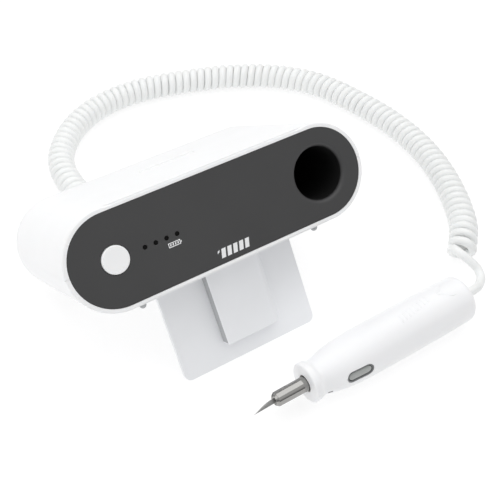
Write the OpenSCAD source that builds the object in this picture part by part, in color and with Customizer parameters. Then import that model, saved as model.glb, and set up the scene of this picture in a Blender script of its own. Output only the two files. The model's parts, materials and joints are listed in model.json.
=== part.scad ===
// Battery-powered ultrasonic cutter: a control unit leaning back on its stand
// plate, a curly cord, and a pen-shaped handpiece with a small pointed blade.
// Millimetres, +Z up. The control unit is drawn level in its own frame (x along
// the width, y from the front rim backwards, z up through the height) and is
// then leaned back by on_table(). The handpiece is drawn along x from its nose.

/* [Control unit] */
// Overall width of the housing
body_w = 158.4; // [150:0.2:166]
// Overall height of the housing
body_h = 48.4; // [47:0.2:50]
// Depth from the front rim to the rear cover
body_d = 96; // [95:0.5:98]
// Thickness of the housing walls
wall = 2.1; // [1.8:0.1:2.4]
// Radius of the rounded edge round the rear cover
rear_edge_r = 3; // [2:0.5:4]
// Thickness of the dark front panel
panel_t = 2; // [1.6:0.1:2.2]
// Angle at which the unit leans back on the table
tilt = 34.5; // [32:0.5:37]

/* [Handpiece holder] */
// Radius of the round bore that holds the handpiece
holder_r = 13.1; // [13:0.05:13.2]
// Depth of the round bore
holder_depth = 85; // [80:1:86]
// Wall thickness of the holder tube
holder_wall = 1.5; // [1.2:0.1:1.6]

/* [Power button and lights] */
// Radius of the round power button
button_r = 6.6; // [6.2:0.1:6.8]
// Travel of the power button
button_travel = 1; // [0.8:0.1:1.2]
// Spacing of the battery lights
light_pitch = 5.45; // [5:0.05:5.8]
// Radius of each battery light
light_r = 0.95; // [0.8:0.05:1.1]

/* [Stand] */
// Width of the stand plate
stand_w = 75.4; // [70:0.2:80]
// Thickness of the stand plate
stand_t = 3; // [2.6:0.1:3.2]
// Distance of the stand plate's lower edge below the middle of the unit
stand_drop = 75.2; // [73:0.2:77]
// Width of the raised block's face on the stand plate
spine_w = 27.7; // [25:0.1:29]
// Height of the raised block above the plate's face
spine_t = 6.5; // [5.5:0.5:7]
// Depth of the socket that takes the stand
socket_depth = 11; // [9:0.5:11]

/* [Handpiece] */
// Largest radius of the handle
hand_r = 12.7; // [12.5:0.05:12.75]
// Length of the handle from the collar face to the rear face
hand_l = 98.8; // [97:0.2:101]
// Radius of the collar at the nose
collar_r = 10.2; // [10:0.1:10.4]
// Radius of the neck behind the collar
neck_r = 9.2; // [9.1:0.05:9.4]
// Radius of the metal horn
horn_r = 3.8; // [3.6:0.1:3.9]
// Length of horn standing out of the nose
horn_out = 17.6; // [16:0.2:19]
// Length of blade standing out of the horn
blade_out = 12; // [10:0.5:14]
// Thickness of the blade
blade_t = 0.6; // [0.5:0.05:0.7]
// Angle of the handle's button round the axis, from straight up
press_turn = 76; // [70:1:80]

/* [Cord] */
// Diameter of the cord
cord_d = 4.8; // [4.4:0.1:5.2]
// Outer diameter of the coiled part
coil_d = 16; // [15:0.5:17]

/* [Hidden] */
// node drawn: one sub-part by name, or all of them together
$fn = 64;

shell_r = body_h / 2;
in_r = shell_r - wall;
half_c = body_w / 2 - shell_r;
cover_y = body_d - 6;
cover_screw_x = 71.6;
rim_r = 0.8;
holder_x = 54.4;
button_x = -55.1;
light_x0 = -40.5;
plate_y = 20;
spine_x = -13.2;
spine_drop = 65;
spine_slope = 5;
plate_corner_r = 3.5;
gland_x = -32;
gland_z = 4;
socket_x = 14;

// height of the unit's own origin above the table, so that the lower front
// edge of the stand plate touches it
lift = plate_y * sin(tilt) + stand_drop * cos(tilt);
// rear feet placed so that their rounded tips touch the table as well
foot_x = 48;
foot_drop = 4.3;
foot_tip_r = 1.75;
foot_r = 3.1;
foot_rim = 1.2;
foot_front_y = 10;
foot_rear_y = (lift - (shell_r + foot_drop - foot_tip_r) * cos(tilt) - foot_tip_r) / sin(tilt);

// nose of the handpiece on the table, seen from the unit's origin, and its direction
nose_x = 4.8;
nose_y = -64.3;
hand_yaw = 1.2;
// position of the unit on the table, so that x = 0 and y = 0 are the middle of
// the unit and the handpiece together
sleeve_out = 2.4;
hand_end_x = nose_x + (hand_l + sleeve_out) * cos(hand_yaw);
hand_front_y = nose_y - hand_r + 0.85;
unit_back_y = (body_d - rear_edge_r) * cos(tilt) + (shell_r - rear_edge_r) * sin(tilt) + rear_edge_r;
unit_x = (body_w / 2 - hand_end_x) / 2;
unit_y = -(hand_front_y + unit_back_y) / 2;
hand_x = unit_x + nose_x;
hand_y = unit_y + nose_y;

// run of the cord over the table
coil_path = [[-28, 112], [-28, 122], [-28, 132], [-27, 143], [-23, 155], [-14, 168], [-2, 179],
             [13, 187], [30, 191], [48, 191], [67, 187], [87, 181], [107, 173], [126, 162],
             [139, 151], [150, 137], [158, 119], [163, 101], [167, 82], [168.5, 61],
             [167, 41], [163, 23], [157, 6], [151, -7], [144, -19], [136, -28], [128.5, -35.2]];
base_path = [[-32, 84.7, 20], [-32, 89.6, 16.6], [-31.8, 93.5, 14], [-31, 98, 11.3],
             [-30, 102.5, 9.4], [-29, 107, 8.3], [-28, 112, 8]];
// straight start beside the coil's end, then the hook into the handpiece
hook_start = [[128, -35.7, 8], [127, -36.7, 8], [125.2, -38.3, 9.6]];
hand_path = [[123.9, -40.6, 12.2], [124.7, -43.1, 12.5], [126.3, -46.5, 11], [126.8, -50.3, 9],
             [124.9, -54.1, 8], [119.7, -58.1, 9.3], [115.6, -60.9, 11.5], [111.6, -61.8, 12.5],
             [107.6, -62.15, 12.7], [103.5, -62.23, 12.7]];

// ---- helpers ----

module on_table() { translate([unit_x, unit_y, lift]) rotate([-tilt, 0, 0]) children(); }
module on_hand() { translate([hand_x, hand_y, hand_r]) rotate([0, 0, hand_yaw]) children(); }

// raises a flat outline (x, z) into a slab between two depths
module deep(y0, y1) { translate([0, y1, 0]) rotate([90, 0, 0]) linear_extrude(y1 - y0) children(); }
// round bar along y
module bar_y(r, y0, y1, x = 0, z = 0) {
    translate([x, y1, z]) rotate([90, 0, 0]) cylinder(r = r, h = y1 - y0);
}
// round bar along x
module bar_x(r, x0, x1) { translate([x0, 0, 0]) rotate([0, 90, 0]) cylinder(r = r, h = x1 - x0); }
module cone_x(r0, r1, x0, x1) {
    translate([x0, 0, 0]) rotate([0, 90, 0]) cylinder(r1 = r0, r2 = r1, h = x1 - x0);
}
module box(x0, x1, y0, y1, z0, z1) { translate([x0, y0, z0]) cube([x1 - x0, y1 - y0, z1 - z0]); }

// straight-sided slab with round ends
module oblong(r, y0, y1) {
    for (s = [-1, 1]) bar_y(r, y0, y1, s * half_c);
    box(-half_c, half_c, y0, y1, -r, r);
}
// the same slab with its rear edge rounded by e
module oblong_round_rear(r, y0, y1, e) {
    oblong(r, y0, y1 - e);
    oblong(r - e, y1 - e, y1);
    for (s = [-1, 1]) {
        translate([0, y1 - e, s * (r - e)]) bar_x(e, -half_c, half_c);
        translate([s * half_c, y1 - e, 0]) rotate([90, 0, 0])
            rotate_extrude() translate([r - e, 0]) circle(e);
    }
}
// bar with round ends lying along x, thickness through z
module pill(l, w, z0, z1) {
    for (s = [-1, 1]) translate([s * (l - w) / 2, 0, z0]) cylinder(d = w, h = z1 - z0);
    box(-(l - w) / 2, (l - w) / 2, -w / 2, w / 2, z0, z1);
}
// swept round cord through a list of points
function unit_v(v) = v / norm(v);
function tangent(p, i) = unit_v(p[min(i + 1, len(p) - 1)] - p[max(i - 1, 0)]);
function side_v(t) = unit_v(cross(abs(t[2]) > 0.95 ? [1, 0, 0] : [0, 0, 1], t));
function ring_pt(c, t, r, a) = c + r * (cos(a) * side_v(t) + sin(a) * cross(t, side_v(t)));
function spline_at(p, i, u) =
    let (a = p[max(i - 1, 0)], b = p[i], c = p[i + 1], d = p[min(i + 2, len(p) - 1)])
    0.5 * (2 * b + (c - a) * u + (2 * a - 5 * b + 4 * c - d) * u * u + (3 * b - a - 3 * c + d) * u * u * u);
function smooth(p, k) =
    concat([for (i = [0 : len(p) - 2], j = [0 : k - 1]) spline_at(p, i, j / k)], [p[len(p) - 1]]);
module cord(points, r, sides) {
    n = len(points);
    pts = [for (i = [0 : n - 1], j = [0 : sides - 1])
        ring_pt(points[i], tangent(points, i), r, j * 360 / sides)];
    side_faces = [for (i = [0 : n - 2], j = [0 : sides - 1])
        [i * sides + j, i * sides + (j + 1) % sides, (i + 1) * sides + (j + 1) % sides, (i + 1) * sides + j]];
    first = [for (j = [sides - 1 : -1 : 0]) j];
    last = [for (j = [0 : sides - 1]) (n - 1) * sides + j];
    polyhedron(points = pts, faces = concat([first], side_faces, [last]), convexity = 6);
}

// ---- stand ----

module stand_plate() {
    color("gainsboro") intersection() {
        on_table() difference() {
            deep(plate_y, plate_y + stand_t) {
                r = plate_corner_r;
                translate([-stand_w / 2, -stand_drop + r]) square([stand_w, stand_drop - r - shell_r - 0.1]);
                translate([-stand_w / 2 + r, -stand_drop]) square([stand_w - 2 * r, 2 * r]);
                for (s = [-1, 1]) translate([s * (stand_w / 2 - r), -stand_drop + r]) circle(r);
            }
            for (s = [-1, 1]) bar_y(1.7, plate_y - 1, plate_y + stand_t + 1, s * 7, -40);
        }
        translate([unit_x - 100, unit_y - 150, 0]) cube([200, 300, 120]);
    }
}

module stand_spine() {
    z1 = -shell_r - 0.1;
    color("silver") on_table() {
        translate([spine_x, 0, -spine_drop]) linear_extrude(spine_drop + z1) polygon([
            [0, plate_y],
            [0, plate_y - spine_t],
            [spine_w, plate_y - spine_t],
            [spine_w + spine_slope, plate_y]]);
        box(-11, 11, 14.8, plate_y, z1 - 1, -shell_r + socket_depth);
        for (s = [-1, 1]) bar_y(1.65, plate_y - 1, plate_y + stand_t + 0.6, s * 7, -40);
    }
}

// ---- control unit ----

// hollow housing before it is split into an upper and a lower half
module housing() {
    difference() {
        translate([0, cover_y + rim_r, 0]) mirror([0, 1, 0])
            oblong_round_rear(shell_r, rim_r, cover_y + rim_r, rim_r);
        oblong(in_r, -1, panel_t + 0.05);
        oblong(in_r - 1.6, panel_t - 1, 5);
        oblong(in_r, 4.6, cover_y + 1);
        for (s = [-1, 1]) box(s * (body_w / 2) - 0.5, s * (body_w / 2) + 0.5, -1, cover_y + 1, -0.2, 0.2);
    }
}

// screw bosses between the two halves: two stand in the round end, so they are shorter
boss_spots = [[-66, 20], [-66, 80], [34, 18], [34, 82]];
boss_r = 3.2;
function in_end(b) = abs(b[0]) > half_c;
function boss_top(b) = in_end(b) ? 17.5 : 23;
function boss_bottom(b) = in_end(b) ? -18.5 : -23;
function screw_seat(b) = in_end(b) ? -17 : -21;

// finger slot on the top of the housing
slot_x = 1.8;
slot_y = 55;
slot_l = 32;
slot_w = 4;

module upper_shell() {
    color("white") on_table() difference() {
        union() {
            intersection() {
                housing();
                box(-100, 100, -5, 120, 0.05, 40);
            }
            for (b = boss_spots) translate([b[0], b[1], 4]) cylinder(r = boss_r, h = boss_top(b) - 4);
        }
        translate([slot_x, slot_y, shell_r - 0.9]) pill(slot_l, slot_w, 0, 3);
        for (b = boss_spots) translate([b[0], b[1], 3]) cylinder(r = 1.2, h = 11);
    }
}

module lower_shell() {
    color("white") on_table() difference() {
        union() {
            intersection() {
                housing();
                box(-100, 100, -5, 120, -40, -0.05);
            }
            box(-13, 13, 13, 23.1, -shell_r + 1, -shell_r + socket_depth + 1.8);
            for (b = boss_spots) translate([b[0], b[1], boss_bottom(b)])
                cylinder(r = boss_r, h = 2 - boss_bottom(b));
        }
        box(-11.06, 11.06, 14.74, plate_y + 0.06, -shell_r - 1, -shell_r + socket_depth + 0.2);
        for (b = boss_spots) translate([b[0], b[1], -30]) {
            cylinder(r = 1.7, h = 40);
            cylinder(r = 3.1, h = 30 + screw_seat(b));
        }
        for (s = [-1, 1], y = [foot_front_y, foot_rear_y])
            translate([s * foot_x, y, -30]) cylinder(r = 1.6, h = 12);
        for (s = [-1, 0, 1]) translate([s * 9, 55, -shell_r - 1]) rotate([0, 0, 90]) pill(22, 1.6, 0, 6);
    }
}

module front_panel() {
    color("dimgray") on_table() difference() {
        oblong(in_r - 0.1, 0.1, panel_t);
        bar_y(holder_r, -1, panel_t + 1, holder_x);
        bar_y(button_r + 0.3, -1, panel_t + 1, button_x);
        for (i = [0 : 3]) bar_y(light_r + 0.08, -1, panel_t + 1, light_x0 + i * light_pitch);
        for (s = [-1, 1]) translate([s * (half_c + in_r), 0, 0]) box(-0.9, 0.9, -1, panel_t + 1, -0.35, 0.35);
    }
}

module rear_cover() {
    color("whitesmoke") on_table() difference() {
        union() {
            oblong_round_rear(shell_r, cover_y + 0.5, body_d, rear_edge_r);
            oblong(shell_r - 0.35, cover_y + 0.1, cover_y + 1);
            oblong(in_r - 0.1, cover_y - 3, cover_y + 1);
        }
        oblong(in_r - 1.7, cover_y - 4, body_d - 2.4);
        bar_y(4.05, body_d - 4, body_d + 1, socket_x, -4);
        bar_y(4.05, body_d - 4, body_d + 1, gland_x, gland_z);
        for (s = [-1, 1]) {
            bar_y(1.6, body_d - 4, body_d + 1, s * cover_screw_x);
            bar_y(2.9, body_d - 1.4, body_d + 1, s * cover_screw_x);
        }
        for (i = [0 : 5]) translate([-3 + i * 4, body_d - 4, 13])
            rotate([-90, 0, 0]) rotate([0, 0, 90]) pill(9, 1.6, 0, 6);
    }
}

module shell_screws() {
    color("silver") on_table() {
        for (b = boss_spots) translate([b[0], b[1], screw_seat(b) - 1.7]) difference() {
            union() {
                cylinder(r = 2.8, h = 1.7);
                cylinder(r = 1.15, h = 13 - screw_seat(b));
            }
            translate([0, 0, -0.1]) cylinder(r = 1.2, h = 1.1, $fn = 6);
        }
        for (s = [-1, 1]) difference() {
            union() {
                bar_y(2.7, body_d - 1.35, body_d - 0.1, s * cover_screw_x);
                bar_y(1.3, body_d - 7, body_d - 1, s * cover_screw_x);
            }
            bar_y(1.2, body_d - 0.9, body_d + 1, s * cover_screw_x, $fn = 6);
        }
    }
}

module feet() {
    color("lightgray") on_table() for (s = [-1, 1], y = [foot_front_y, foot_rear_y])
        translate([s * foot_x, y, -shell_r]) {
            translate([0, 0, -foot_rim]) cylinder(r = foot_r, h = foot_rim);
            translate([0, 0, -foot_drop + foot_tip_r])
                cylinder(r1 = foot_tip_r, r2 = foot_r, h = foot_drop - foot_tip_r - foot_rim);
            translate([0, 0, -foot_drop + foot_tip_r]) sphere(foot_tip_r);
            translate([0, 0, -0.1]) cylinder(r = 1.55, h = wall);
        }
}

module holder_tube() {
    color("#202124") on_table() difference() {
        union() {
            bar_y(holder_r + holder_wall, panel_t + 0.1, panel_t + 0.1 + holder_depth + 4.4, holder_x);
            for (y = [12, 70]) {
                box(holder_x - 5, holder_x + 5, y, y + 6, holder_r, in_r - 0.5);
                box(holder_x - 5, holder_x + 5, y, y + 6, -in_r + 0.5, -holder_r);
            }
        }
        bar_y(holder_r, -1, panel_t + 0.1 + holder_depth, holder_x);
        bar_y(11, panel_t + holder_depth, panel_t + 0.1 + holder_depth + 3, holder_x);
    }
}

module holder_pad() {
    y1 = panel_t + 0.1 + holder_depth;
    color("#303030") on_table() difference() {
        bar_y(10.95, y1 + 0.05, y1 + 3, holder_x);
        bar_y(4, y1, y1 + 1.5, holder_x);
    }
}

module power_button() {
    color("white") on_table() translate([button_x, -0.5, 0]) rotate([-90, 0, 0]) {
        rotate_extrude() polygon([[0, 0], [button_r - 0.7, 0], [button_r, 0.7], [button_r, 3], [0, 3]]);
        translate([0, 0, 2.9]) cylinder(r = button_r + 1, h = 1.2);
        cylinder(r = 2, h = 7.3);
    }
}

module button_switch() {
    color("#26282a") on_table() {
        box(button_x - 3.1, button_x + 3.1, 9, 13, -3.1, 3.1);
        bar_y(1.7, 7.9, 9.2, button_x);
    }
}

module battery_lights() {
    color("#2b2b2d") on_table() {
        for (i = [0 : 3]) bar_y(light_r, 0.25, 11.6, light_x0 + i * light_pitch);
        box(light_x0 - 2, light_x0 + 3 * light_pitch + 2, 5.5, 7, -1.6, 1.6);
    }
}

module front_board() {
    color("#1f5b39") on_table() {
        difference() {
            box(-66, -13.4, 13, 14.6, -12, 12);
            for (x = [-63.5, -15.9], z = [-9, 9]) bar_y(1.1, 12, 16, x, z);
        }
        for (i = [0 : 3]) translate([light_x0 + i * light_pitch, 0, 0]) box(-0.9, 0.9, 11.9, 13.1, -0.8, 0.8);
        box(-22, -16, 14.5, 20, -4, 4);
    }
}

module driver_board() {
    color("#1f5b39") on_table() difference() {
        union() {
            box(-44, 29, 26, 86, 4, 5.6);
            box(-40, -30, 30, 40, 5.5, 7.4);
            box(-8, 6, 30, 44, 5.5, 7.6);
            for (x = [12, 20]) translate([x, 34, 5.5]) cylinder(r = 3.2, h = 11);
            box(12, 26, 48, 62, 5.5, 9);
            for (i = [0 : 5]) box(-42 + i * 5, -39 + i * 5, 44, 46, 5.5, 6.6);
            box(-20, -10, 76, 84, 5.5, 12);
        }
        for (x = [-41, 26], y = [29, 83]) translate([x, y, 3]) cylinder(r = 1.6, h = 4);
    }
}

module output_transformer() {
    color("#4a4742") on_table() {
        box(-40, -16, 52, 55.5, 5.7, 19.5);
        box(-40, -16, 66.5, 70, 5.7, 19.5);
        box(-40, -16, 55, 67, 5.7, 8.7);
        box(-40, -16, 55, 67, 16.5, 19.5);
        translate([-28, 61, 5.8]) cylinder(r = 4, h = 13);
        translate([-28, 61, 8.8]) cylinder(r = 7.6, h = 7.6);
    }
}

module heat_sink() {
    color("silver") on_table() {
        box(-10, 10, 52, 70, 5.7, 7.4);
        for (i = [0 : 4]) box(-10 + i * 4.6, -8.4 + i * 4.6, 52, 70, 7.3, 17.5);
    }
}

cell_x = [-27, -7.5, 12];

module battery_tray() {
    color("#3a3d40") on_table() difference() {
        box(-38, 23, 25.2, 86.8, -21.6, -12);
        for (x = cell_x) bar_y(9.3, 26.4, 90, x, -8);
    }
}

module battery_cells() {
    color("#3f7fa8") on_table() for (x = cell_x) {
        bar_y(9.2, 26.6, 88.6, x, -8);
        bar_y(3, 88.5, 89.8, x, -8);
    }
}

module charge_socket() {
    color("#17181a") on_table() {
        difference() {
            union() {
                bar_y(3.95, body_d - 5, body_d - 0.1, socket_x, -4);
                box(socket_x - 4.6, socket_x + 4.6, body_d - 4.4, body_d - 2.5, -9, 1);
            }
            bar_y(2.9, body_d - 4.6, body_d + 1, socket_x, -4);
        }
        bar_y(1, body_d - 4.8, body_d - 0.6, socket_x, -4);
    }
}

module cord_gland() {
    color("#e4e6e4") on_table() difference() {
        union() {
            bar_y(3.95, body_d - 5, body_d + 1, gland_x, gland_z);
            bar_y(5.4, body_d + 0.1, body_d + 2, gland_x, gland_z);
            translate([gland_x, body_d + 2, gland_z]) rotate([-90, 0, 0]) cylinder(r1 = 4.6, r2 = 3.6, h = 8);
            bar_y(5.4, body_d - 4.6, body_d - 2.6, gland_x, gland_z);
        }
        bar_y(cord_d / 2 + 0.02, body_d - 6, body_d + 11, gland_x, gland_z);
    }
}

// ---- handpiece ----

body_t0 = 7;
waist_t = 50;
cap_t = 91;
// radius of the handle at a distance from the collar face: a slim neck that fills out
// to the full grip, and a slight taper towards the rear
function handle_profile_r(t) = t < waist_t
    ? neck_r + (hand_r - neck_r) * (1 - pow(1 - max(t - body_t0, 0) / (waist_t - body_t0), 3.5))
    : hand_r - 0.3 * pow(max(t - 74, 0) / 20, 2);
end_r = 3.4;
in_front_r = 8.1;
in_main_r = 10.2;

// axis of the handle along x, button direction turned to +z
module at_press() { rotate([press_turn, 0, 0]) children(); }
press_c = 24.2;
press_l = 14.8;
press_w = 6.6;

module handle_body() {
    steps = concat([for (i = [0 : 20]) body_t0 + i * 2.07], [for (i = [0 : 5]) 52 + i * (cap_t - 52) / 5]);
    outside = [for (t = steps) [handle_profile_r(t), t]];
    inside = [[in_main_r, cap_t], [in_main_r, 21.4], [in_front_r, 20], [in_front_r, body_t0]];
    color("white") on_hand() difference() {
        rotate([0, 90, 0]) rotate_extrude($fn = 96) polygon(concat(outside, inside));
        at_press() translate([press_c, 0, 0]) pill(press_l + 0.04, press_w + 0.04, 6, 16);
        rotate([106, 0, 0]) translate([8.7, 0, 0]) pill(2.8, 0.9, 5, 12);
    }
}

module nose_cap() {
    color("white") on_hand() difference() {
        union() {
            rotate([0, 90, 0]) rotate_extrude($fn = 96) polygon([
                [0, 0], [collar_r - 1, 0], [collar_r - 0.3, 0.3], [collar_r, 1],
                [collar_r, 2.2], [collar_r - 0.2, 3], [neck_r + 0.25, 5.2], [neck_r, 6.2],
                [neck_r, body_t0 - 0.1], [0, body_t0 - 0.1]]);
            bar_x(in_front_r - 0.06, body_t0 - 0.5, 15);
        }
        bar_x(4.25, -1, 16);
        bar_x(6.6, 3, 16);
    }
}

module end_cap() {
    r = handle_profile_r(cap_t);
    color("white") on_hand() difference() {
        union() {
            bar_x(r - 0.12, cap_t + 0.1, hand_l - end_r);
            bar_x(r - end_r, hand_l - 4, hand_l);
            translate([hand_l - end_r, 0, 0]) rotate([0, 90, 0])
                rotate_extrude($fn = 96) translate([r - end_r - 0.12, 0]) circle(end_r);
            bar_x(in_main_r - 0.06, cap_t - 6, cap_t + 1);
        }
        bar_x(in_main_r - 1.6, cap_t - 7, hand_l - 2.4);
        bar_x(3.4, hand_l - 4, hand_l + 1);
    }
}

module cord_sleeve() {
    color("#d8dad8") on_hand() difference() {
        union() {
            bar_x(3.36, hand_l - 3, hand_l + 0.4);
            cone_x(3.9, 3.2, hand_l + 0.05, hand_l + 2.4);
            bar_x(4.6, hand_l - 3.6, hand_l - 2.45);
        }
        bar_x(cord_d / 2 + 0.02, hand_l - 5, hand_l + 4);
    }
}

module press_bezel() {
    color("#6f7274") on_hand() intersection() {
        at_press() translate([press_c, 0, 0]) difference() {
            pill(press_l, press_w, 10.25, 14);
            pill(press_l - 1.5, press_w - 1.5, 9, 16);
        }
        bar_x(handle_profile_r(press_c) - 0.1, 0, 60);
    }
}

module press_button() {
    color("#b4b8ba") on_hand() {
        intersection() {
            at_press() translate([press_c, 0, 0]) pill(press_l - 2.1, press_w - 2.1, 10.3, 14);
            bar_x(handle_profile_r(press_c) - 0.05, 0, 60);
        }
        at_press() translate([press_c, 0, 10.2]) cylinder(r = 1, h = 1);
    }
}

module press_board() {
    color("#1f5b39") on_hand() at_press() {
        box(22.2, 38, -3.6, 3.6, 8.1, 9.0);
        translate([press_c, 0, 8.9]) cylinder(r = 1.6, h = 0.6);
        box(32, 36, -2, 2, 8.9, 9.6);
    }
}

// the blade's flat side turned up
module at_blade() { rotate([45, 0, 0]) children(); }

module horn() {
    color("silver") on_hand() difference() {
        union() {
            bar_x(horn_r, -horn_out + 1.4, 17);
            cone_x(horn_r - 1.4, horn_r, -horn_out, -horn_out + 1.4);
            cone_x(horn_r, 7.2, 17, 21);
            bar_x(7.2, 21, 52);
            bar_x(9.7, 42.5, 44.5);
        }
        at_blade() box(-horn_out - 1, -horn_out + 8, -5, 5, -blade_t / 2 - 0.03, blade_t / 2 + 0.03);
        at_blade() translate([-horn_out + 4.5, 0, -5]) cylinder(r = 0.95, h = 5);
        cone_x(1.9, 1, -horn_out - 0.01, -horn_out + 1.6);
        bar_x(2.1, 40, 53);
    }
}

module horn_rings() {
    color("#2c2c2e") on_hand() for (x = [41.4, 45.6])
        translate([x, 0, 0]) rotate([0, 90, 0]) rotate_extrude() translate([8.2, 0]) circle(1);
}

ring_pitch = 3.4;

module piezo_rings() {
    color("#8f8a80") on_hand() for (i = [0 : 3]) difference() {
        bar_x(7.2, 52.1 + i * ring_pitch, 55.1 + i * ring_pitch);
        bar_x(2.9, 50, 70);
    }
}

module electrodes() {
    color("#b87333") on_hand() for (i = [0 : 3]) difference() {
        union() {
            bar_x(7.3, 55.15 + i * ring_pitch, 55.45 + i * ring_pitch);
            rotate([90 * i, 0, 0]) box(55.15 + i * ring_pitch, 55.45 + i * ring_pitch, -1.5, 1.5, 6, 9.4);
        }
        bar_x(2.9, 50, 70);
    }
}

module back_mass() {
    color("slategray") on_hand() difference() {
        bar_x(7.2, 65.75, 80);
        bar_x(2.6, 60, 81);
    }
}

module preload_bolt() {
    color("#55585b") on_hand() difference() {
        union() {
            bar_x(2.05, 41, 80.2);
            bar_x(4.2, 80.1, 85);
        }
        translate([82, 0, 0]) rotate([0, 90, 0]) cylinder(r = 2.3, h = 4, $fn = 6);
    }
}

module blade() {
    color("gray") on_hand() at_blade() translate([-horn_out, 0, -blade_t / 2]) linear_extrude(blade_t)
        polygon([[6.5, 1.1], [-1.5, 1.1], [-4, 0.9], [-5.6, 0.55], [-7.2, 0.05], [-9, -0.5],
                 [-blade_out, -1.35], [0.6 - blade_out, -1.35], [-6, -1.2], [6.5, -1.1]]);
}

module blade_screw() {
    color("#55585b") on_hand() at_blade() translate([-horn_out + 4.5, 0, 0]) difference() {
        translate([0, 0, -3.5]) cylinder(r = 0.93, h = 3.1);
        translate([0, 0, -3.6]) cylinder(r = 0.5, h = 0.9, $fn = 6);
    }
}

// ---- cord ----

function placed(p) = [for (q = p) [q[0] + unit_x, q[1] + unit_y, q[2]]];
function laid(p, z) = [for (q = p) [q[0], q[1], z]];

module base_lead() { color("#e2e5e1") cord(smooth(placed(base_path), 4), cord_d / 2, 12); }
module coil_cord() { color("#e2e5e1") cord(smooth(placed(laid(coil_path, coil_d / 2)), 2), coil_d / 2, 12); }
module handle_lead() {
    color("#e2e5e1") cord(smooth(placed(concat(hook_start, hand_path)), 3), cord_d / 2, 12);
}

stand_plate();
stand_spine();
upper_shell();
lower_shell();
front_panel();
rear_cover();
shell_screws();
feet();
holder_tube();
holder_pad();
power_button();
button_switch();
battery_lights();
front_board();
driver_board();
output_transformer();
heat_sink();
battery_tray();
battery_cells();
charge_socket();
cord_gland();
handle_body();
nose_cap();
end_cap();
press_bezel();
press_button();
press_board();
horn();
horn_rings();
piezo_rings();
electrodes();
back_mass();
preload_bolt();
blade();
blade_screw();
cord_sleeve();
base_lead();
coil_cord();
handle_lead();
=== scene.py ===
"""Battery-powered ultrasonic cutter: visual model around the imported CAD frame."""
import json
import math

import bmesh
import bpy
from mathutils import Matrix, Vector


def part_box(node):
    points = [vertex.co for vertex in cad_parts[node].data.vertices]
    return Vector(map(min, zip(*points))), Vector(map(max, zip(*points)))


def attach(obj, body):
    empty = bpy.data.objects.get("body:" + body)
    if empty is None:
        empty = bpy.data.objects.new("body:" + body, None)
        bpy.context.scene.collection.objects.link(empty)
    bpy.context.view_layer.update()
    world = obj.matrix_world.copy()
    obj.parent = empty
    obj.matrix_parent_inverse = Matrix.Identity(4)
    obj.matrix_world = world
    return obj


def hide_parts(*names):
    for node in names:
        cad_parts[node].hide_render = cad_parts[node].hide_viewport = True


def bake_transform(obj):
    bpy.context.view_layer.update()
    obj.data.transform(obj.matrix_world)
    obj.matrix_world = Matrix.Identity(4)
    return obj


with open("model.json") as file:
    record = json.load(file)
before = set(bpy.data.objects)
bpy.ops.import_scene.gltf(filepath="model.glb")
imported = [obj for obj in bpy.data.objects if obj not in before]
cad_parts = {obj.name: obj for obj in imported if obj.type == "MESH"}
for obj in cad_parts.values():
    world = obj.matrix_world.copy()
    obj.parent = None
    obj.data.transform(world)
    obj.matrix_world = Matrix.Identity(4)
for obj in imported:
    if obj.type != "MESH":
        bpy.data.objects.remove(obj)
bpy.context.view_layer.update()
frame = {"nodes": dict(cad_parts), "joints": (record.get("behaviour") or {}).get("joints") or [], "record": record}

MM = 0.001
record = frame["record"]
nodes = frame["nodes"]
joints = {j["name"]: j for j in frame["joints"]}
mounts = {m["name"]: m for m in record["mounts"]}
scene = bpy.context.scene


# ---- the unit's own frame and the handpiece's own frame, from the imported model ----

HOLDER_X, HOLDER_MID = 54.4 * MM, 43.6 * MM  # middle of the holder bore in the unit's frame
MASS_MID = 72.875 * MM                       # middle of the back mass behind the nose


def as_matrix(x, y, z, origin):
    return Matrix.Translation(origin) @ Matrix((x, y, z)).transposed().to_4x4()


holder = mounts["handpiece_holder"]
unit_back = -Vector(holder["axis"]).normalized()
unit_right = Vector((1, 0, 0))
unit_up = unit_right.cross(unit_back)
unit_origin = Vector(holder["pos_m"]) - HOLDER_X * unit_right - HOLDER_MID * unit_back
UNIT = as_matrix(unit_right, unit_back, unit_up, unit_origin)

hand_back = -Vector(joints["blade_pull"]["axis"]).normalized()
low, high = (Vector(c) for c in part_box("back_mass"))
hand_side = Vector((0, 0, 1)).cross(hand_back)
HAND = as_matrix(hand_back, hand_side, Vector((0, 0, 1)), (low + high) / 2 - MASS_MID * hand_back)


def turned(degrees):
    """The handpiece's frame turned about its axis."""
    return HAND @ Matrix.Rotation(math.radians(degrees), 4, "X")


def along_depth(x, z=0.0):
    """A frame whose own x runs backwards through the unit at that place, in millimetres."""
    return UNIT @ Matrix.Translation((x * MM, 0, z * MM)) @ Matrix.Rotation(math.radians(90), 4, "Z")


# ---- camera ----

LOOK_AT = Vector((22.9 * MM, 26.6 * MM, 0))
CAMERA_AZIMUTH = math.radians(32.16)
CAMERA_ELEVATION = math.radians(45.67)
CAMERA_DISTANCE = 0.505

forward = Vector((math.sin(CAMERA_AZIMUTH) * math.cos(CAMERA_ELEVATION),
                  math.cos(CAMERA_AZIMUTH) * math.cos(CAMERA_ELEVATION),
                  -math.sin(CAMERA_ELEVATION)))
camera_data = bpy.data.cameras.new("camera")
camera_data.lens = 65.16
camera_data.sensor_width = 36
camera_data.clip_start = 0.01
camera = bpy.data.objects.new("camera", camera_data)
scene.collection.objects.link(camera)
camera.location = LOOK_AT - CAMERA_DISTANCE * forward
camera.rotation_euler = forward.to_track_quat("-Z", "Y").to_euler()
scene.camera = camera


# ---- mesh helpers ----

SMOOTH_ANGLE = math.radians(32)  # edges sharper than this stay sharp in the shading
BEVEL_ANGLE = math.radians(40)   # edges sharper than this are rounded on the CAD shapes


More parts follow.
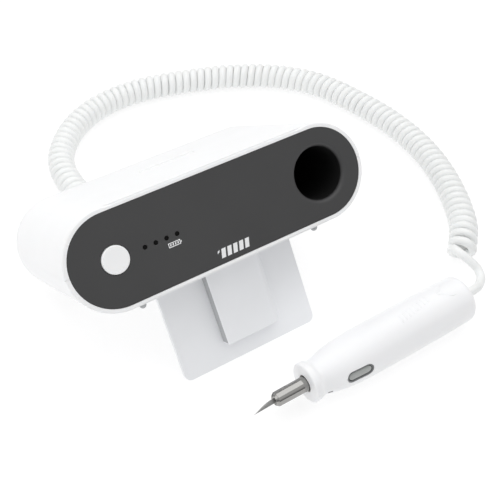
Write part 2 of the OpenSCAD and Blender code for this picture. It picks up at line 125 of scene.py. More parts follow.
def add_mesh(name, verts, faces, smooth=True):
    mesh = bpy.data.meshes.new(name)
    mesh.from_pydata([tuple(v) for v in verts], [], faces)
    mesh.validate()
    if smooth:
        mesh.shade_smooth()
    obj = bpy.data.objects.new(name, mesh)
    scene.collection.objects.link(obj)
    return obj


def outward(obj):
    """Turns the faces outwards and shades the mesh smooth, except over sharp edges."""
    bm = bmesh.new()
    bm.from_mesh(obj.data)
    bmesh.ops.recalc_face_normals(bm, faces=bm.faces)
    bm.to_mesh(obj.data)
    bm.free()
    obj.data.shade_smooth()
    obj.data.set_sharp_from_angle(angle=SMOOTH_ANGLE)
    return obj


def catmull(points, step):
    """Points along a smooth curve through the given ones, about one step apart."""
    out = []
    for i in range(len(points) - 1):
        a, b = points[max(i - 1, 0)], points[i]
        c, d = points[i + 1], points[min(i + 2, len(points) - 1)]
        count = max(2, round((c - b).length / step))
        for k in range(count):
            u = k / count
            out.append(0.5 * (2 * b + (c - a) * u + (2 * a - 5 * b + 4 * c - d) * u * u
                              + (3 * b - a - 3 * c + d) * u ** 3))
    return out + [points[-1]]


def ring_faces(count, rings, closed=False):
    """Faces between rings of count points each, with two end caps unless the rings close on themselves."""
    faces = [[i * count + k, i * count + (k + 1) % count,
              (i + 1) % rings * count + (k + 1) % count, (i + 1) % rings * count + k]
             for i in range(rings if closed else rings - 1) for k in range(count)]
    if not closed:
        faces.append(list(range(count)))
        faces.append([(rings - 1) * count + k for k in range(count)])
    return faces


def tube(name, path, radius, sides):
    """A closed round tube along a path, with its frame carried along without twist."""
    verts = []
    tangents = [(path[min(i + 1, len(path) - 1)] - path[max(i - 1, 0)]).normalized()
                for i in range(len(path))]
    side = tangents[0].cross(Vector((0, 0, 1)))
    if side.length < 0.1:
        side = tangents[0].cross(Vector((1, 0, 0)))
    side.normalize()
    for p, t in zip(path, tangents):
        side = (side - t * side.dot(t)).normalized()
        other = t.cross(side)
        for k in range(sides):
            a = 2 * math.pi * k / sides
            verts.append(p + radius * (math.cos(a) * side + math.sin(a) * other))
    faces = ring_faces(sides, len(path))
    faces[-2].reverse()
    return add_mesh(name, verts, faces)


def rounded(corners, steps=5):
    """An outline in millimetres with its corners rounded: each corner is (x, y, radius)."""
    out = []
    for i, (x, y, r) in enumerate(corners):
        here = Vector((x, y))
        if not r:
            out.append(here)
            continue
        before = (Vector(corners[i - 1][:2]) - here).normalized()
        after = (Vector(corners[(i + 1) % len(corners)][:2]) - here).normalized()
        half = before.angle(after) / 2
        centre = here + (before + after).normalized() * (r / math.sin(half))
        start = here + before * (r / math.tan(half)) - centre
        sweep = start.angle_signed(here + after * (r / math.tan(half)) - centre)
        for k in range(steps + 1):
            spoke = start.copy()
            spoke.rotate(Matrix.Rotation(-sweep * k / steps, 2))
            out.append(centre + spoke)
    return out


def lathe(name, place, outline, segments=96, closed=False):
    """Turns an outline of (distance along x, radius) in millimetres about the place's own x."""
    verts, rings = [], []
    for x, r in outline:
        count = 1 if r < 1e-6 else segments
        rings.append([len(verts) + k for k in range(count)])
        for k in range(count):
            a = 2 * math.pi * k / segments
            verts.append(place @ (Vector((x, r * math.cos(a), r * math.sin(a))) * MM))
    faces = []
    pairs = list(zip(rings, rings[1:])) + ([(rings[-1], rings[0])] if closed else [])
    for a, b in pairs:
        for k in range(segments):
            quad = [a[k % len(a)], a[(k + 1) % len(a)], b[(k + 1) % len(b)], b[k % len(b)]]
            face = list(dict.fromkeys(quad))
            if len(face) > 2:
                faces.append(face)
    return outward(add_mesh(name, verts, faces))


def loft(name, place, rings):
    """A closed solid through rings of the same number of points, in millimetres."""
    verts = [place @ (Vector(p) * MM) for ring in rings for p in ring]
    return outward(add_mesh(name, verts, ring_faces(len(rings[0]), len(rings))))


def slab(name, place, outlines, z0, z1, edge):
    """A flat plate with holes from outlines (x, y) in millimetres, its edges rounded."""
    curve = bpy.data.curves.new(name, "CURVE")
    curve.dimensions = "2D"
    curve.fill_mode = "BOTH"
    curve.extrude = (z1 - z0) / 2 - edge
    curve.bevel_depth = edge
    curve.bevel_resolution = 2
    curve.offset = -edge
    for outline in outlines:
        spline = curve.splines.new("POLY")
        spline.points.add(len(outline) - 1)
        for point, (x, y) in zip(spline.points, outline):
            point.co = (x, y, 0, 1)
        spline.use_cyclic_u = True
    shape = bpy.data.objects.new(name + "_outline", curve)
    scene.collection.objects.link(shape)
    mesh = bpy.data.meshes.new_from_object(shape.evaluated_get(bpy.context.evaluated_depsgraph_get()))
    bpy.data.objects.remove(shape)
    mesh.transform(place @ Matrix.Scale(MM, 4) @ Matrix.Translation((0, 0, (z0 + z1) / 2)))
    mesh.materials.clear()
    obj = bpy.data.objects.new(name, mesh)
    scene.collection.objects.link(obj)
    bm = bmesh.new()
    bm.from_mesh(mesh)
    bmesh.ops.remove_doubles(bm, verts=bm.verts, dist=0.002 * MM)
    bm.to_mesh(mesh)
    bm.free()
    return outward(obj)


def weighted(obj):
    """Shades flat faces flat: the normals follow the larger faces."""
    modifier = obj.modifiers.new("normals", "WEIGHTED_NORMAL")
    modifier.keep_sharp = True
    return obj


def circle(x, y, r, count=64):
    return [(x + r * math.cos(2 * math.pi * k / count), y + r * math.sin(2 * math.pi * k / count))
            for k in range(count)]


def box_outline(x0, x1, z0, z1):
    return [(x0, z0), (x1, z0), (x1, z1), (x0, z1)]


def pill(length, width, count=24):
    """Outline of a bar with round ends, centred."""
    half, r = (length - width) / 2, width / 2
    right = [(half + r * math.cos(a), r * math.sin(a))
             for a in (math.pi * (k / count - 0.5) for k in range(count + 1))]
    return right + [(-x, -y) for x, y in right]


def refined(node, width, keep=None):
    """The CAD node's own shape with its sharp edges rounded a little, but not those that keep() picks."""
    mesh = nodes[node].data.copy()
    mesh.name = node + "_fine"
    bm = bmesh.new()
    bm.from_mesh(mesh)
    bmesh.ops.remove_doubles(bm, verts=bm.verts, dist=0.003 * MM)
    bmesh.ops.dissolve_limit(bm, angle_limit=math.radians(0.5), verts=bm.verts, edges=bm.edges)
    bmesh.ops.recalc_face_normals(bm, faces=bm.faces)
    edges = [e for e in bm.edges if len(e.link_faces) == 2 and e.calc_face_angle(0) > BEVEL_ANGLE
             and not (keep and keep(e))]
    bmesh.ops.bevel(bm, geom=edges, offset=width * MM, segments=2, profile=0.5,
                    affect="EDGES", clamp_overlap=True)
    bm.to_mesh(mesh)
    bm.free()
    if mesh.has_custom_normals:
        mesh.attributes.remove(mesh.attributes["custom_normal"])
    mesh.materials.clear()
    obj = bpy.data.objects.new(node + "_fine", mesh)
    scene.collection.objects.link(obj)
    return weighted(outward(obj))


def cut(obj, cutter):
    """Cuts the cutter's shape out of a piece."""
    modifier = obj.modifiers.new("cut", "BOOLEAN")
    modifier.operation = "DIFFERENCE"
    modifier.solver = "EXACT"
    modifier.object = cutter
    mesh = bpy.data.meshes.new_from_object(obj.evaluated_get(bpy.context.evaluated_depsgraph_get()))
    obj.modifiers.remove(modifier)
    obj.data = mesh
    bpy.data.objects.remove(cutter)
    mesh.shade_smooth()
    mesh.set_sharp_from_angle(angle=SMOOTH_ANGLE)
    weighted(obj)


# ---- cord ----

CORD_D = 4.8 * MM
COIL_D = 16 * MM
PITCH = 4.95 * MM
OPEN_PITCH = 6.6 * MM      # pitch of the last turns by the handpiece
OPEN_RUN = 16 * MM         # stretch over which the turns open
LEAN = 0.45                # how far the opened turns lean along the cord
TURN_POINTS = 22
START_TURN, END_TURN = 0.75, 0.25  # where round the coil the two leads join, from the table up

COIL_PATH = [(-28, 112), (-28, 122), (-28, 132), (-27, 143), (-23, 155), (-14, 168), (-2, 179),
             (13, 187), (30, 191), (48, 191), (67, 187), (87, 181), (107, 173), (126, 162),
             (139, 151), (150, 137), (158, 119), (163, 101), (167, 82), (168.5, 61),
             (167, 41), (163, 23), (157, 6), (151, -7), (144, -19), (136, -28), (128.5, -35.2)]
BASE_PATH = [(-32, 84.7, 20), (-32, 89.6, 16.6), (-32.2, 94, 14.2), (-32.6, 98.5, 13.2), (-33, 102.5, 13.6),
             (-33.3, 106.3, 13.8), (-33.5, 109.5, 12.7), (-33.6, 111.4, 10.6)]
HAND_PATH = [(123.3, -33.4, 12.3), (122.4, -37.2, 14.3), (122.8, -41.2, 14.3), (124.6, -45.6, 12.4),
             (126.3, -50.2, 9.6), (124.6, -54.8, 8.2), (120.2, -58.4, 9.3), (115.6, -60.9, 11.5),
             (111.6, -61.8, 12.5), (107.6, -62.15, 12.7), (103.5, -62.23, 12.7)]


def on_route(p):
    """A point of the route, counted from under the middle of the unit's front rim."""
    x, y, z = (*p, 0)[:3]
    return Vector((unit_origin.x, unit_origin.y, 0)) + Vector((x, y, z)) * MM


def smoothstep(u):
    u = min(max(u, 0), 1)
    return u * u * (3 - 2 * u)


def helix(line):
    """Turns that lie on the table round a line, close together and opening at the far end."""
    run = [0]
    for a, b in zip(line, line[1:]):
        run.append(run[-1] + (b - a).length)
    total = run[-1]

    def pitch_at(s):
        return PITCH + (OPEN_PITCH - PITCH) * smoothstep((s - total + OPEN_RUN) / OPEN_RUN)

    places = []
    s = 0
    while s < total:
        places.append(s)
        s += pitch_at(s) / TURN_POINTS
    wanted = math.floor(len(places) / TURN_POINTS) + (END_TURN - START_TURN) % 1
    stretch = wanted * TURN_POINTS / (len(places) - 1)
    mean_r = (COIL_D - CORD_D) / 2
    out = []
    i = 0
    for count, s in enumerate(places):
        while run[i + 1] < s and i < len(line) - 2:
            i += 1
        centre = line[i].lerp(line[i + 1], (s - run[i]) / (run[i + 1] - run[i]))
        along = (line[i + 1] - line[i]).normalized()
        across = Vector((0, 0, 1)).cross(along)
        phase = 2 * math.pi * (START_TURN + count * stretch / TURN_POINTS)
        opened = smoothstep((s - total + OPEN_RUN) / OPEN_RUN)
        up = Vector((0, 0, 1)) + LEAN * opened * along
        out.append(centre + Vector((0, 0, COIL_D / 2))
                   - mean_r * (math.sin(phase) * across + math.cos(phase) * up))
    return out


def curly_route():
    """Centreline of the whole cord: lead, helix lying on the table, hooked lead."""
    turns = helix(catmull([on_route(p) for p in COIL_PATH], 0.5 * MM))
    first = catmull([on_route(p) for p in BASE_PATH] + [turns[0], turns[2]], 1 * MM)
    first = first[:first.index(turns[0])]
    last = catmull([turns[-3], turns[-1]] + [on_route(p) for p in HAND_PATH], 1 * MM)
    last = last[last.index(turns[-1]) + 1:]
    return first + turns + last


cord_route = curly_route()
cord = tube("curly_cord", cord_route, CORD_D / 2, 14)


# ---- materials ----

def material(name):
    mat = bpy.data.materials.new(name)
    mat.use_nodes = True
    tree = mat.node_tree
    return mat, tree, tree.nodes["Principled BSDF"]


def noise(tree, scale, detail, stretch=None):
    coords = tree.nodes.new("ShaderNodeTexCoord")
    tex = tree.nodes.new("ShaderNodeTexNoise")
    tex.inputs["Scale"].default_value = scale
    tex.inputs["Detail"].default_value = detail
    source = coords.outputs["Object"]
    if stretch:
        mapping = tree.nodes.new("ShaderNodeMapping")
        mapping.inputs["Scale"].default_value = stretch
        tree.links.new(source, mapping.inputs["Vector"])
        source = mapping.outputs["Vector"]
    tree.links.new(source, tex.inputs["Vector"])
    return tex


def spread(tree, source, low, high):
    node = tree.nodes.new("ShaderNodeMapRange")
    node.interpolation_type = "SMOOTHSTEP"
    node.inputs["From Min"].default_value = 0.1
    node.inputs["From Max"].default_value = 0.9
    node.inputs["To Min"].default_value = low
    node.inputs["To Max"].default_value = high
    tree.links.new(source, node.inputs["Value"])
    return node.outputs["Result"]


def tinted(tree, source, dark, light):
    ramp = tree.nodes.new("ShaderNodeValToRGB")
    ramp.color_ramp.interpolation = "EASE"
    ramp.color_ramp.elements[0].position = 0.1
    ramp.color_ramp.elements[1].position = 0.9
    ramp.color_ramp.elements[0].color = (*dark, 1)
    ramp.color_ramp.elements[1].color = (*light, 1)
    tree.links.new(source, ramp.inputs["Fac"])
    return ramp.outputs["Color"]


def bumped(tree, shader, source, distance):
    bump = tree.nodes.new("ShaderNodeBump")
    bump.inputs["Distance"].default_value = distance
    bump.inputs["Strength"].default_value = 1
    tree.links.new(source, bump.inputs["Height"])
    tree.links.new(bump.outputs["Normal"], shader.inputs["Normal"])


def moulded(name, colour, rough, grain=2600, depth=0.004 * MM, vary=0.015, soft=0.0, coat=0.0,
            shine=0.5):
    """Moulded plastic: fine grain, faint drift of tone and gloss."""
    mat, tree, shader = material(name)
    drift = noise(tree, 45, 2)
    fine = noise(tree, grain, 2)
    dark = [c * (1 - vary) for c in colour]
    light = [min(c * (1 + vary), 1) for c in colour]
    tree.links.new(tinted(tree, drift.outputs["Fac"], dark, light), shader.inputs["Base Color"])
    gloss = spread(tree, drift.outputs["Fac"], rough * 0.88, rough * 1.12)
    tree.links.new(gloss, shader.inputs["Roughness"])
    bumped(tree, shader, fine.outputs["Fac"], depth)
    shader.inputs["Specular IOR Level"].default_value = shine
    shader.inputs["Coat Weight"].default_value = coat
    shader.inputs["Coat Roughness"].default_value = 0.15
    if soft:
        shader.inputs["Subsurface Weight"].default_value = soft
        shader.inputs["Subsurface Radius"].default_value = (1, 0.9, 0.8)
        shader.inputs["Subsurface Scale"].default_value = 1.2 * MM
    return mat


def brushed(name, colour, rough, scratch=(60, 4000, 4000), depth=0.002 * MM):
    """Turned or brushed metal with fine lines."""
    mat, tree, shader = material(name)
    lines = noise(tree, 1, 4, scratch)
    drift = noise(tree, 160, 2)
    tree.links.new(tinted(tree, lines.outputs["Fac"], [c * 0.9 for c in colour], colour),
                   shader.inputs["Base Color"])
    gloss = spread(tree, drift.outputs["Fac"], rough * 0.75, rough * 1.3)
    tree.links.new(gloss, shader.inputs["Roughness"])
    shader.inputs["Metallic"].default_value = 1
    bumped(tree, shader, lines.outputs["Fac"], depth)
    return mat


MATERIALS = {
    "white_shell": moulded("white_shell", (0.91, 0.913, 0.92), 0.36, soft=0.08),
    "handle_plastic": moulded("handle_plastic", (0.89, 0.893, 0.905), 0.30, soft=0.08),
    "white_button": moulded("white_button", (0.92, 0.925, 0.93), 0.28, soft=0.1),
    "stand_plastic": moulded("stand_plastic", (0.86, 0.87, 0.89), 0.42),
    "grey_panel": moulded("grey_panel", (0.044, 0.044, 0.045), 0.5, grain=3800, depth=0.006 * MM,
                          vary=0.04),
    "smoked_light": moulded("smoked_light", (0.003, 0.003, 0.003), 0.45, shine=0.1),
    "grey_rubber": moulded("grey_rubber", (0.45, 0.46, 0.47), 0.6),
    "black_plastic": moulded("black_plastic", (0.010, 0.010, 0.010), 0.55, shine=0.3),
    "dark_rubber": moulded("dark_rubber", (0.022, 0.022, 0.023), 0.75),
    "circuit_board": moulded("circuit_board", (0.015, 0.11, 0.05), 0.35),
    "ferrite": moulded("ferrite", (0.06, 0.058, 0.055), 0.6),
    "heat_sink_metal": brushed("heat_sink_metal", (0.78, 0.79, 0.8), 0.35),
    "cell_wrap": moulded("cell_wrap", (0.05, 0.22, 0.40), 0.25),
    "screw_steel": brushed("screw_steel", (0.56, 0.56, 0.57), 0.3),
    "bezel_plastic": moulded("bezel_plastic", (0.17, 0.175, 0.18), 0.35),
    "silver_button": moulded("silver_button", (0.33, 0.345, 0.335), 0.22, coat=0.5),
    "horn_metal": brushed("horn_metal", (0.36, 0.355, 0.345), 0.1),
    "piezo_ceramic": moulded("piezo_ceramic", (0.30, 0.27, 0.22), 0.5),
    "electrode_copper": brushed("electrode_copper", (0.75, 0.43, 0.25), 0.35),
    "mass_steel": brushed("mass_steel", (0.42, 0.43, 0.44), 0.3),
    "blade_steel": brushed("blade_steel", (0.33, 0.33, 0.325), 0.28),
    "cord_cover": moulded("cord_cover", (0.85, 0.86, 0.855), 0.42, grain=1500, depth=0.01 * MM,
                          soft=0.06),
}


def dress(obj, slot_name):
    obj.data.materials.clear()
    obj.data.materials.append(MATERIALS[slot_name])


def fit_out(obj, body, slot_name, *replaced):
    """Finishes a new piece: its material, the body it rides on and the nodes it stands for."""
    dress(obj, slot_name)
    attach(obj, body)
    if replaced:
        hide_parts(*replaced)
    return obj


for part in record["subparts"]:
    dress(nodes[part["node"]], part["material_slot"])


# ---- housing ----

# in millimetres, in the unit's own frame
BODY_R, HALF_C, BODY_D = 24.2, 55.0, 96.0  # end radius, half the straight part, depth
IN_R = 22.1                                # inside radius of the shells at the front
PLATE_T, PLATE_IN = 2.0, 0.1               # front plate: thickness and how far it sits back
LIP_R, HOLDER_R = 15.2, 13.1               # mouth and bore of the holder
BUTTON_X, BUTTON_HOLE_R = -55.1, 6.9
LIGHT_X0, LIGHT_PITCH, LIGHT_R, LIGHTS = -40.5, 5.45, 1.12, 4
STRIP_HALF, STRIP_START, STRIP_END = 0.2, 1.6, 89.9  # strip that closes the joint of the shells

# the front face: x across, y up, z towards the front
FACE = UNIT @ Matrix(((1, 0, 0, 0), (0, 0, -1, 0), (0, 1, 0, 0), (0, 0, 0, 1)))
TO_UNIT = UNIT.inverted()


def on_parting(edge):
    """Whether an edge lies in the plane where the two shells meet."""
    return all(abs((TO_UNIT @ v.co).z) < 0.1 * MM for v in edge.verts)


for node, edge in (("upper_shell", 0.3), ("lower_shell", 0.3), ("rear_cover", 0.15)):
    fit_out(refined(node, edge, keep=on_parting), "unit", "white_shell", node)
fit_out(refined("feet", 0.2), "unit", "grey_rubber", "feet")
fit_out(refined("charge_socket", 0.15), "unit", "black_plastic", "charge_socket")

for end in (-1, 1):
    x0, x1 = sorted((end * (HALF_C + BODY_R - 0.6), end * (HALF_C + BODY_R - 0.03)))
    strip = loft("joint_strip_left" if end < 0 else "joint_strip_right", FACE,
                 [[(x, z, -depth) for x, z in box_outline(x0, x1, -STRIP_HALF, STRIP_HALF)]
                  for depth in (STRIP_START, STRIP_END)])
    fit_out(strip, "unit", "white_shell")

panel_holes = [circle(BUTTON_X, 0, BUTTON_HOLE_R)]
panel_holes += [circle(LIGHT_X0 + i * LIGHT_PITCH, 0, LIGHT_R, 32) for i in range(LIGHTS)]
panel_rim = pill(2 * (HALF_C + IN_R - 0.1), 2 * (IN_R - 0.1), 48)
panel = slab("front_plate", FACE, [panel_rim] + panel_holes, -PLATE_T, -PLATE_IN, 0.2)
flare = rounded([(-2, 0, 0), (-2, 16.5, 0), (0.1, 16.5, 0), (0.1, HOLDER_R, LIP_R - HOLDER_R),
                 (4, HOLDER_R, 0), (4, 0, 0)], 8)
cut(panel, lathe("bore_cutter", along_depth(HOLDER_X / MM), flare, 96))
fit_out(panel, "unit", "grey_panel", "front_panel")

button = rounded([(-0.36, 0, 0), (-0.5, 5.2, 0), (-0.5, 6.6, 0.55), (2.5, 6.6, 0), (2.5, 7.6, 0),
                  (3.6, 7.6, 0), (3.6, 2, 0), (6.8, 2, 0), (6.8, 0, 0)])
fit_out(lathe("power_key_cap", along_depth(BUTTON_X), button), "power_key", "white_button", "power_button")


def printed(name, outlines):
    """A thin printed mark on the front plate."""
    fit_out(slab(name, FACE, outlines, -PLATE_IN, -PLATE_IN + 0.06, 0), "unit", "white_button")


def leaning_bar(x, z, width, height, lean):
    return [(x, z), (x + width, z), (x + width + lean, z + height), (x + lean, z + height)]


cell_marks = [box_outline(-30, -23.9, -4.9, -2.7), box_outline(-29.65, -24.25, -4.55, -3.05),
              box_outline(-23.7, -23.3, -4.2, -3.4)]
cell_marks += [leaning_bar(-29.3 + i * 1.25, -4.3, 0.6, 1, 0.25) for i in range(4)]
printed("battery_mark", cell_marks)
wave_marks = [leaning_bar(-7.4 + i * 3.2, -19.3, 2.2, 4.4, 1.1) for i in range(5)]
wave_marks.append([(-8.8, -16.6), (-7.7, -16.0), (-7.4, -15), (-8.5, -15.5)])
printed("wave_mark", wave_marks)


# ---- stand ----

PLATE_FACE, SPINE_FACE, SPINE_LEFT, SPINE_RIGHT, SPINE_END = 20.0, 13.5, -13.2, 14.5, 65.0
SHELL_BOTTOM = BODY_R + 0.1


def spine_outline(left, right, low, depth):
    """Outline of the raised block at one depth; it runs up under the housing."""
    corners = [(SPINE_LEFT + left, -SHELL_BOTTOM, 0), (SPINE_LEFT + left, -SPINE_END + low, 0.8),
               (SPINE_RIGHT + right, -SPINE_END + low, 1.2), (SPINE_RIGHT + right, -SHELL_BOTTOM, 0)]
    return [(p.x, p.y, -depth) for p in rounded(corners)]


spine_levels = [(0, 4.8, 0, PLATE_FACE), (0.02, 1.2, 0.1, SPINE_FACE + 1.2),
                (0.1, 0.3, 0.2, SPINE_FACE + 0.5), (0.3, -0.3, 0.45, SPINE_FACE + 0.15),
                (0.7, -0.9, 0.9, SPINE_FACE)]
spine = loft("stand_block", FACE, [spine_outline(*level) for level in spine_levels])
fit_out(spine, "unit", "stand_plastic", "stand_spine")
tongue = loft("stand_tongue", FACE, [[(x, y, z) for x, z in box_outline(-11, 11, -20, -14.8)]
                                     for y in (-SHELL_BOTTOM + 11, -SHELL_BOTTOM - 0.9)])
fit_out(tongue, "unit", "stand_plastic")
fit_out(refined("stand_plate", 0.35), "unit", "stand_plastic", "stand_plate")
# Painted shade: a thin grey strip over the block's left wall stands in for the shade that falls there under the
# housing; it is no real part.
shade_strip_sides = box_outline(-SPINE_END + 1, -SHELL_BOTTOM, -PLATE_FACE + 0.05, -SPINE_FACE - 1)
painted_shade_strip = loft("stand_painted_shade", FACE, [[(x, y, z) for y, z in shade_strip_sides]
                                 for x in (SPINE_LEFT - 0.12, SPINE_LEFT + 0.3)])
fit_out(painted_shade_strip, "unit", "grey_rubber")


# ---- handpiece ----

# in millimetres from the collar's face; a turn is the angle from straight up, towards the user
HAND_L, HAND_R, NOSE_R, CORD_BORE = 98.8, 12.7, 10.2, 2.45
PRESS_TURN, PRESS_C, PRESS_L, PRESS_W = 76, 24.2, 14.8, 6.6  # key: turn, middle, length and width
SLOT_TURN, SLOT_C, SLOT_L, SLOT_W = 105, 8.4, 2.8, 1.2       # slot beside the collar, in the same order

nose_edge = rounded([(7, 8.1, 0), (7, 4.3, 0), (0, 4.3, 0.25), (0, NOSE_R, 0.9), (2.6, NOSE_R, 0)])
waist = catmull([Vector(p) for p in ((2.6, NOSE_R), (3.6, 10.0), (4.6, 9.5), (5.8, 9.22), (7.2, 9.27),
                                     (9.6, 9.8), (14.4, 10.9), (21, 11.85), (32, 12.5), (46, 12.66),
                                     (60, HAND_R), (74, HAND_R), (86, 12.58), (94, 12.4))], 0.9)
tail = rounded([(94, 12.4, 0), (HAND_L, 12.3, 3.5), (HAND_L, 3.42, 0.2), (HAND_L - 2.5, 3.42, 0),
                (HAND_L - 2.5, 10.6, 0), (22, 10.2, 0), (20, 8.1, 0)], 8)
skin_outline = nose_edge[:-1] + waist + tail[1:]
skin = lathe("handle_skin", HAND, skin_outline, 128, closed=True)


def handle_r(t):
    for a, b in zip(waist, waist[1:]):
        if a.x <= t <= b.x:
            return a.y + (b.y - a.y) * (t - a.x) / (b.x - a.x)
    return waist[-1].y


def on_skin(turn, t, side, height):
    """A point over the handle's surface: t along it, side round it, height above it, in millimetres."""
    r = handle_r(t)
    a = side / r
    return turned(turn) @ (Vector((t, (r + height) * math.sin(a), (r + height) * math.cos(a))) * MM)


def on_skin_loft(name, turn, rings, closed=False):
    """A solid through rings of points (t, side, height) laid over the handle's surface."""
    verts = [on_skin(turn, *p) for ring in rings for p in ring]
    return outward(add_mesh(name, verts, ring_faces(len(rings[0]), len(rings), closed)))


def pill_ring(centre, length, width, inset, height):
    return [(centre + x, y, height) for x, y in pill(length - 2 * inset, width - 2 * inset, 20)]


cut(skin, on_skin_loft("press_cutter", PRESS_TURN,
                       [pill_ring(PRESS_C, PRESS_L, PRESS_W, -0.02, h) for h in (-3, 2)]))
cut(skin, on_skin_loft("slot_cutter", SLOT_TURN,
                       [pill_ring(SLOT_C, SLOT_L, SLOT_W, 0, h) for h in (-2.5, 2)]))
fit_out(skin, "handpiece", "handle_plastic", "handle_body", "nose_cap", "end_cap")
plug = on_skin_loft("slot_plug", SLOT_TURN,
                    [pill_ring(SLOT_C, SLOT_L, SLOT_W, 0.02, h) for h in (-1.6, -0.1)])
fit_out(plug, "handpiece", "black_plastic")

# Painted shade: the frame round the key is dark grey to stand in for the shade in the narrow gap round the key.
bezel_levels = [(0, -1.6), (0, -0.3), (0.12, -0.1), (0.35, -0.06), (0.6, -0.16), (0.78, -0.4), (0.78, -1.6)]
bezel = on_skin_loft("press_frame", PRESS_TURN,
                     [pill_ring(PRESS_C, PRESS_L, PRESS_W, inset, h) for inset, h in bezel_levels],
                     closed=True)
fit_out(bezel, "handpiece", "bezel_plastic", "press_bezel")
key_levels = [(1.05, -1.2), (1.05, -0.8), (1.14, -0.6), (1.4, -0.46), (2.0, -0.38), (2.8, -0.36),
              (3.2, -0.36)]
key = on_skin_loft("press_key_cap", PRESS_TURN,
                   [pill_ring(PRESS_C, PRESS_L, PRESS_W, inset, h) for inset, h in key_levels])
fit_out(key, "press_key", "silver_button", "press_button")

RIBS, RIB_START, RIB_PITCH, RIB_L, RIB_W = 8, 55.5, 2.6, 4.6, 1.2
RIB_TURN, CHEVRON_TURN, SEAM_TURN = 8, -4, 46
for i in range(RIBS):
    t = RIB_START + RIB_PITCH * i
    rib = on_skin_loft(f"grip_rib_{i + 1}", RIB_TURN - 2 * i,
                       [[(t + x, y, h) for y, x in pill(RIB_L - 2 * inset, RIB_W - 2 * inset, 8)]
                        for inset, h in ((0, -0.1), (0, 0.08), (0.3, 0.2))])
    fit_out(rib, "handpiece", "handle_plastic")
for side in (-1, 1):
    wing = on_skin_loft("tail_chevron_left" if side < 0 else "tail_chevron_right", CHEVRON_TURN,
                        [[(80.5 + inset, side * (0.4 + inset), h), (82.5 - inset, side * (0.4 + inset), h),
                          (89 - inset, side * (5 - inset), h), (87 + inset, side * (5 - inset), h)]
                         for inset, h in ((0, -0.2), (0, 0.08), (0.25, 0.2))])
    fit_out(wing, "handpiece", "handle_plastic")
seam = on_skin_loft("handle_seam", SEAM_TURN,
                    [[(t, y, h) for t, y in box_outline(69, 94, -0.12 + inset, 0.12 - inset)]
                     for inset, h in ((0, -0.2), (0, 0.02), (0.06, 0.05))])
fit_out(seam, "handpiece", "handle_plastic")


# ---- horn, blade and its screw ----

HORN_OUT = 17.6                    # how far the horn stands out of the collar
BLADE_T, BLADE_TURN = 0.6, 45
HORN_ROOT_R, BOLT_BORE = 7.2, 2.1  # the thick part inside the handle and the bore for the bolt
BLADE_PLACE = turned(BLADE_TURN)

horn_line = rounded([(-HORN_OUT + 1.6, 0, 0), (-HORN_OUT + 1.6, 1.0, 0), (-HORN_OUT, 1.9, 0),
                     (-HORN_OUT, 2.6, 0.25), (-HORN_OUT + 1.3, 3.62, 0.7), (0, 3.82, 0), (17, 3.85, 0),
                     (21, HORN_ROOT_R, 0), (42.5, HORN_ROOT_R, 0), (42.5, 9.7, 0), (44.5, 9.7, 0),
                     (44.5, HORN_ROOT_R, 0), (52, HORN_ROOT_R, 0), (52, BOLT_BORE, 0), (40, BOLT_BORE, 0),
                     (40, 0, 0)])
horn = lathe("horn_body", HAND, horn_line, 96)
slot_side = BLADE_T / 2 + 0.03
cut(horn, loft("blade_slot", BLADE_PLACE, [[(x, y, z) for y, z in box_outline(-5, 5, -slot_side, slot_side)]
                                           for x in (-HORN_OUT - 1, -HORN_OUT + 8)]))
screw_hole = Matrix.Translation(((4.5 - HORN_OUT) * MM, 0, 0)) @ Matrix.Rotation(math.radians(90), 4, "Y")
cut(horn, lathe("screw_cutter", BLADE_PLACE @ screw_hole, [(0, 0), (0, 0.95), (5, 0.95), (5, 0)], 32))
fit_out(horn, "handpiece", "horn_metal", "horn")

# places along the blade from the horn's end: (distance, curved edge, straight back)
BLADE_STATIONS = [(6.5, 1.1, -1.1), (-1.0, 1.1, -1.12), (-2.6, 1.05, -1.15), (-4, 0.88, -1.18),
                  (-5.6, 0.52, -1.21), (-7.2, 0.05, -1.25), (-9, -0.52, -1.3), (-10.8, -1.06, -1.34),
                  (-12, -1.34, -1.37)]


def blade_section(x, edge, back):
    half = BLADE_T / 2 * (1 if x > -9 else 0.7 if x > -11 else 0.25)
    keen = 0.03 if x < -1.5 else half
    shoulder = max(edge - 0.75, back + 0.25 * (edge - back))
    return [(x - HORN_OUT, y, z) for y, z in ((back, -half), (shoulder, -half), (edge, -keen),
                                              (edge, keen), (shoulder, half), (back, half))]


blade = loft("blade_ground", BLADE_PLACE, [blade_section(*s) for s in BLADE_STATIONS])
fit_out(blade, "cutter", "blade_steel", "blade")
fit_out(refined("blade_screw", 0.05), "handpiece", "screw_steel", "blade_screw")


# ---- strain reliefs and cord ----

GLAND_X, GLAND_Z, GLAND_RINGS = -32.0, 4.0, 4
gland_line = [(BODY_D - 5, CORD_BORE), (BODY_D - 5, 3.9), (BODY_D + 0.1, 3.9), (BODY_D + 0.1, 5.4),
              (BODY_D + 1.6, 5.4), (BODY_D + 2, 5.0), (BODY_D + 2, 4.6)]
for i in range(GLAND_RINGS):
    start, r = BODY_D + 3.2 + 1.7 * i, 4.5 - 0.2 * i
    gland_line += [(start, r), (start + 0.15, r - 0.55), (start + 0.75, r - 0.6), (start + 0.9, r - 0.08)]
gland_line += [(BODY_D + 9.8, 3.65), (BODY_D + 10, 3.4), (BODY_D + 10, CORD_BORE)]
gland = fit_out(lathe("cord_boot", along_depth(GLAND_X, GLAND_Z), gland_line, 64, closed=True),
                "unit", "cord_cover", "cord_gland")
sleeve_line = rounded([(HAND_L - 3, CORD_BORE, 0), (HAND_L - 3, 3.36, 0), (HAND_L + 0.05, 3.36, 0),
                       (HAND_L + 0.05, 3.9, 0.2), (HAND_L + 1.2, 3.85, 0.2), (HAND_L + 1.2, 3.3, 0.1),
                       (HAND_L + 2.4, 3.2, 0.3), (HAND_L + 2.4, CORD_BORE, 0)])
sleeve = fit_out(lathe("cord_collar", HAND, sleeve_line, 64, closed=True),
                 "handpiece", "cord_cover", "cord_sleeve")

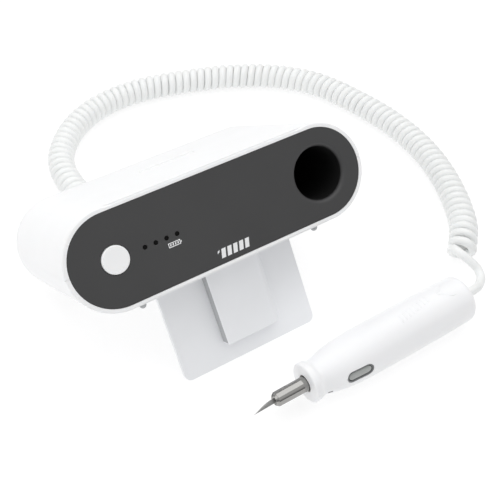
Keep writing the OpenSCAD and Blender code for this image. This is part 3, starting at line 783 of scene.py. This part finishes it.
dress(cord, "cord_cover")
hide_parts("base_lead", "coil_cord", "handle_lead")
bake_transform(cord)


# ---- floor and light ----

FLOOR_HALF, FLOOR_Z = 3, -0.2 * MM
floor_rim = box_outline(-FLOOR_HALF, FLOOR_HALF, -FLOOR_HALF, FLOOR_HALF)
floor = add_mesh("floor", [(x, y, FLOOR_Z) for x, y in floor_rim], [(0, 1, 2, 3)], smooth=False)
floor_mat, _, floor_shader = material("pale_floor")
floor_shader.inputs["Base Color"].default_value = (0.42, 0.42, 0.42, 1)
floor_shader.inputs["Roughness"].default_value = 0.9
floor_shader.inputs["Specular IOR Level"].default_value = 0
floor_shader.inputs["Emission Color"].default_value = (1, 1, 1, 1)
floor_shader.inputs["Emission Strength"].default_value = 0.64
floor.data.materials.append(floor_mat)


def area_light(name, place, target, size, power):
    data = bpy.data.lights.new(name, "AREA")
    data.shape = "RECTANGLE"
    data.size, data.size_y = size
    data.energy = power
    obj = bpy.data.objects.new(name, data)
    scene.collection.objects.link(obj)
    obj.location = place
    obj.rotation_euler = (Vector(target) - Vector(place)).to_track_quat("-Z", "Y").to_euler()


area_light("overhead_softbox", (0.15, 0.2, 1.1), (0, 0, 0), (1.5, 1.5), 7)
area_light("side_softbox", (-1.0, 0.1, 0.45), (-0.05, 0.05, 0.04), (0.8, 0.8), 1.6)
world = bpy.data.worlds.new("studio")
scene.world = world
world.use_nodes = True
sky = world.node_tree
direction = sky.nodes.new("ShaderNodeTexCoord")
split = sky.nodes.new("ShaderNodeSeparateXYZ")
rise = sky.nodes.new("ShaderNodeValToRGB")
rise.color_ramp.elements[0].position = 0.12
rise.color_ramp.elements[0].color = (0.28, 0.28, 0.285, 1)
rise.color_ramp.elements[1].position = 0.5
rise.color_ramp.elements[1].color = (1, 1, 1, 1)
sky.links.new(direction.outputs["Generated"], split.inputs["Vector"])
sky.links.new(split.outputs["Z"], rise.inputs["Fac"])
sky.links.new(rise.outputs["Color"], sky.nodes["Background"].inputs["Color"])
sky.nodes["Background"].inputs["Strength"].default_value = 0.78
scene.view_settings.view_transform = "Standard"
